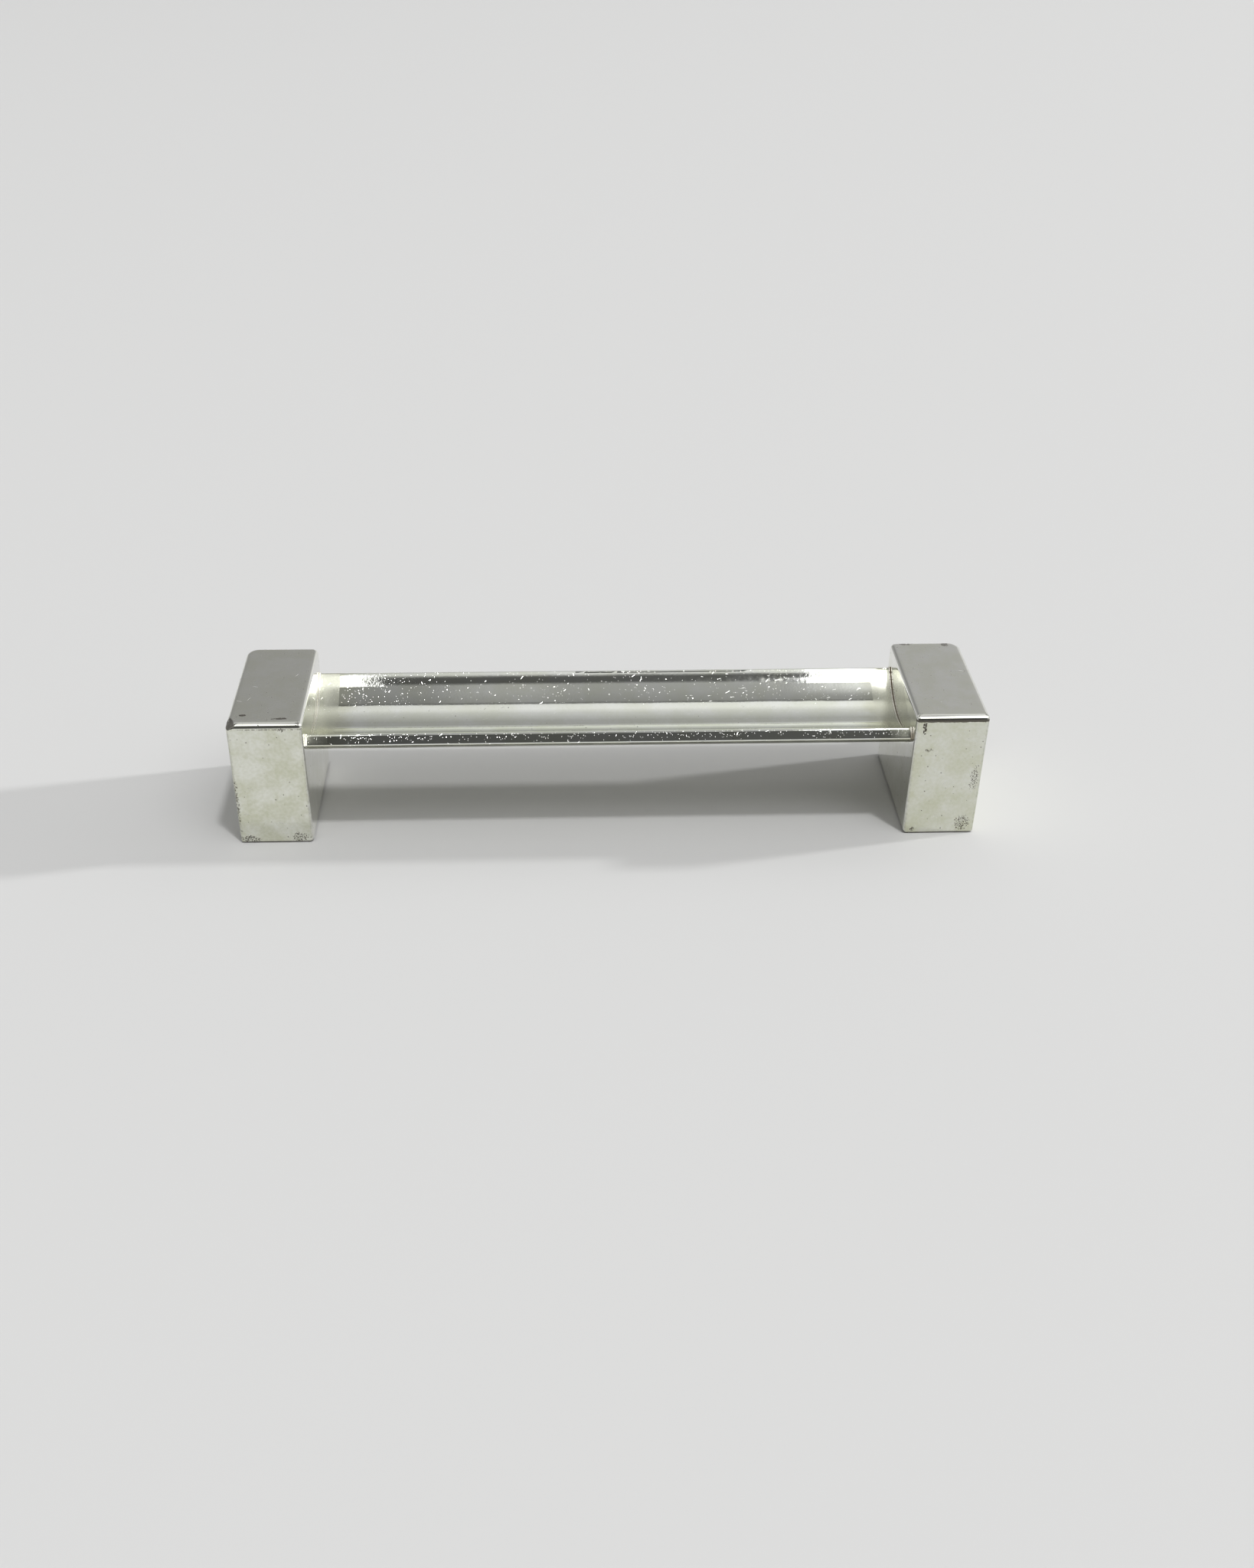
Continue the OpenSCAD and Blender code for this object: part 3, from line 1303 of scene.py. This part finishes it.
@dataclass(frozen=True)
class SoftBox:
    """A soft lamp that faces the rest. Its light is the share that it adds to a white floor."""

    name: str
    towards: Place
    size: Span
    light: float
    distance: float = 6.0

    def hang(self) -> None:
        """Adds the lamp."""
        direction = Vector(self.towards).normalized()
        data = bpy.data.lights.new(self.name, "AREA")
        data.shape = "RECTANGLE"
        data.size, data.size_y = self.size
        data.energy = self.light * (math.pi * self.distance) ** 2 / direction.z
        lamp = bpy.data.objects.new(self.name, data)
        level = direction.cross(Axis.X.normal).normalized()
        turned = Matrix((level.cross(direction), level, direction)).transposed().to_4x4()
        lamp.matrix_world = Matrix.Translation(direction * self.distance) @ turned
        bpy.context.scene.collection.objects.link(lamp)


@dataclass(frozen=True)
class Patch:
    """A patch of the dome that is brighter or darker than what lies round it, with soft edges.

    Its edges across are parts of the direction along the rest, and its edges over the top are angles
    from the rear horizon in degrees. Its light is below 0 where it is darker.
    """

    left: Span
    right: Span
    rear: Span
    front: Span
    light: float

    def added(self, w: Wiring, x: Socket, over: Socket, strength: object) -> Socket:
        """Adds the patch's light to the strength at a direction's X and its share over the top."""
        edges = ([degrees / HALF_TURN for degrees in edge] for edge in (self.rear, self.front))
        return w.scaled(w.times(w.band(x, self.left, self.right), w.band(over, *edges)), self.light, strength)


@dataclass(frozen=True)
class Studio:
    """Plain pale floor under a soft dome of light, with two soft boxes and two small lamps.

    The dome's tones go by the angle from the rear horizon over the top to the front, in degrees.
    Towards both ends of the rest the dome is plain.
    """

    floor_colour: Colour = (0.66, 0.66, 0.66)
    floor_size: float = 8.0
    tones: tuple[Span, ...] = (
        (0, 0.55), (18, 0.56), (22, 0.46), (24, 0.35), (34, 0.36), (43, 0.47), (52, 0.60), (60, 0.82),
        (68, 0.80), (70, 0.14), (73, 0.26), (90, 0.33), (100, 0.34), (111, 0.36), (117, 0.72), (125, 0.72),
        (127, 0.30), (128.5, 0.08), (142, 0.08), (146, 0.04), (153, 0.10), (173, 0.14), (177, 0.50),
        (180, 0.50),
    )
    warmth: float = 0.985
    boxes: tuple[SoftBox, ...] = (
        SoftBox("left_soft_box", (-0.307, -0.29, 0.87), (2.58, 1.80), 0.057),
        SoftBox("right_soft_box", (0.41, -0.365, 0.86), (3.10, 3.00), 0.115),
        SoftBox("key_lamp", (0.20, -0.25, 0.95), (0.36, 0.36), 0.265),
        SoftBox("side_lamp", (0.90, 0.165, 0.415), (0.30, 0.30), 0.19),
    )
    rightward: float = 0.75
    leftmost: float = -0.4
    gap: Patch = Patch((-0.15, -0.11), (0.17, 0.21), (100, 105), (112, 117), -0.74)
    glows: tuple[Patch, ...] = (
        Patch((0.135, 0.19), (0.90, 0.99), (76, 97), (97, 104), 1.5),
        Patch((0.235, 0.255), (0.36, 0.42), (70, 74), (98, 104), 2.2),
        Patch((-0.34, -0.28), (-0.165, -0.145), (70, 74), (98, 104), 2.0),
        Patch((-0.07, -0.04), (-0.015, 0.02), (70, 74), (100, 104), 0.18),
        Patch((-0.125, -0.11), (-0.08, -0.06), (70, 74), (100, 104), -0.12),
    )
    front_sides: Span = (0.38, 0.55)
    front_edge: Span = (126.0, 130.0)
    front_tone: Colour = (0.34, 0.34, 0.335)
    plain_ends: Span = (0.78, 0.92)
    end_tone: Colour = (0.47, 0.47, 0.463)

    def set_up(self) -> None:
        """Adds the floor, the dome and the lamps."""
        self.lay_floor()
        self.light_dome()
        for box in self.boxes:
            box.hang()
        bpy.context.scene.view_settings.view_transform = "Standard"

    def lay_floor(self) -> None:
        """Adds the floor just under the feet."""
        floor = Shape("plane", "floor", size=self.floor_size, location=(0, 0, -TOUCH)).object
        material = bpy.data.materials.new("pale_floor")
        material.use_nodes = True
        shader = material.node_tree.nodes["Principled BSDF"]
        shader.inputs["Base Color"].default_value = (*self.floor_colour, 1.0)
        shader.inputs["Roughness"].default_value = 1.0
        shader.inputs["Specular IOR Level"].default_value = 0.0
        floor.data.materials.append(material)

    def light_dome(self) -> None:
        """Gives the world its tones, its patches of light, and its plain ends."""
        world = bpy.data.worlds.new("dome")
        bpy.context.scene.world = world
        world.use_nodes = True
        w = Wiring(world.node_tree)
        x, y, z = w.split(w.add("ShaderNodeTexCoord").outputs["Generated"])
        over = w.math("DIVIDE", w.math("ARCTAN2", z, y), math.pi)
        strength = w.scaled(w.math("MAXIMUM", x, self.leftmost), self.rightward, 1.0)
        strength = w.times(strength, self.gap.added(w, x, over, 1.0))
        for glow in self.glows:
            strength = glow.added(w, x, over, strength)
        ramp = w.add("ShaderNodeValToRGB", {"Fac": over})
        stops = ramp.color_ramp.elements
        for _ in self.tones[2:]:
            stops.new(0.5)
        for stop, (degrees, value) in zip(stops, self.tones):
            stop.position = degrees / HALF_TURN
            stop.color = (value, value, value * self.warmth, 1.0)
        aside = w.fade(w.size(x), *self.front_sides)
        in_front = w.fade(over, *(degrees / HALF_TURN for degrees in self.front_edge))
        colour = w.blend(w.times(aside, in_front), ramp.outputs["Color"], self.front_tone)
        at_ends = w.fade(w.size(x), *self.plain_ends)
        background = world.node_tree.nodes["Background"]
        w.feed(background.inputs["Color"], w.blend(at_ends, colour, self.end_tone))
        w.feed(background.inputs["Strength"], w.mix(at_ends, strength, 1.0))


LEFT_SMUDGES_AND_SHADE = (
    Smudge((0.2, 0.4, 16.6), (1.6, 2.2, 0.8), 0.45, 0.72, 0.80),
    Smudge((1.7, 2.2, 16.8), (0.8, 0.5, 0.4), 0.3, 0.85, 0.7),
    Smudge((6.2, 1.35, 16.8), (2.1, 0.4, 0.4), 0.25, 0.85, 0.68),
    Smudge((1.3, 0.0, 0.6), (2.4, 1.0, 1.2), 0.16, 0.8, 0.56),
    Smudge((7.2, 0.0, 0.8), (2.1, 1.0, 1.6), 0.16, 0.75, 0.54),
    Smudge((0.2, 0.0, 6.0), (0.6, 0.6, 7.0), 0.16, 0.75, 0.54),
    Smudge((6.3, 0.0, 16.0), (0.7, 0.5, 0.8), 0.2, 0.8, 0.54),
    # Painted reflection: a dark, broken line under the highlight of the top front edge.
    Smudge((5.0, 0.1, 16.12), (10.0, 0.6, 0.17), 0.3, 0.6, 0.62),
)
RIGHT_SMUDGES_AND_SHADE = (
    Smudge((7.75, 0.0, 15.2), (0.6, 0.8, 2.0), 0.2, 0.95, 0.58),
    Smudge((1.6, 0.0, 1.5), (2.1, 0.8, 2.5), 0.16, 0.85, 0.53),
    Smudge((0.9, 0.0, 8.0), (1.1, 0.8, 4.0), 0.16, 0.75, 0.50),
    Smudge((7.7, 0.0, 0.7), (0.7, 0.6, 0.6), 0.2, 0.8, 0.58),
    Smudge((6.9, 0.0, 12.2), (1.0, 0.6, 0.6), 0.2, 0.7, 0.55),
    Smudge((1.9, 17.8, 16.8), (1.0, 0.8, 0.4), 0.3, 0.65, 0.70),
    Smudge((7.0, 18.0, 16.8), (1.4, 0.6, 0.4), 0.3, 0.6, 0.68),
    Smudge((8.8, 9.2, 13.0), (1.0, 10.0, 4.2), 1.6, 0.22, 1.1),
    # Painted reflection: a thick dark line under the highlight of the top front edge.
    Smudge((4.0, 0.1, 16.24), (11.0, 0.6, 0.35), 0.3, 0.85, 0.92),
)
BAR_SMUDGES = (Smudge((0.0, -0.5, -0.1), (1.1, 0.9, 0.6), 0.25, 0.85, 0.72),)
LEFT_PLATE = BlockPlate()
# Painted shade: the right block's silver is darker than the left's, against the brighter light on the right.
RIGHT_PLATE_SHADED = replace(LEFT_PLATE, silver=(0.78, 0.79, 0.72), top_silver=(0.80, 0.80, 0.775))
# Its lighter streak against the block is a painted highlight.
CLEAN_SOLDER = SolderFinish("silver_solder_left")
TARNISHED_SOLDER = SolderFinish(
    "silver_solder_right", polished=(0.93, 0.91, 0.83), streak=(0.17, 0.12, 0.07), streak_width=0.12 * MM,
    streak_roughness=0.4, rim_tarnish=0.8,
)


def main() -> None:
    """Builds the studio and every piece of the rest, in order."""
    PhotoCamera().set_up()
    Studio().set_up()
    EndBlock(Side.LEFT, LEFT_SMUDGES_AND_SHADE, worn_corner=(1.6, 2.1, 0.8)).make(LEFT_PLATE)
    EndBlock(Side.RIGHT, RIGHT_SMUDGES_AND_SHADE).make(RIGHT_PLATE_SHADED)
    bar = TroughBar(BAR_SMUDGES)
    bar.make(BarPlate())
    SolderSeam(Side.LEFT, bar).make(CLEAN_SOLDER)
    SolderSeam(Side.RIGHT, bar, bead_count=38, swell_height=0.006 * MM).make(TARNISHED_SOLDER)


if __name__ == "__main__":
    main()
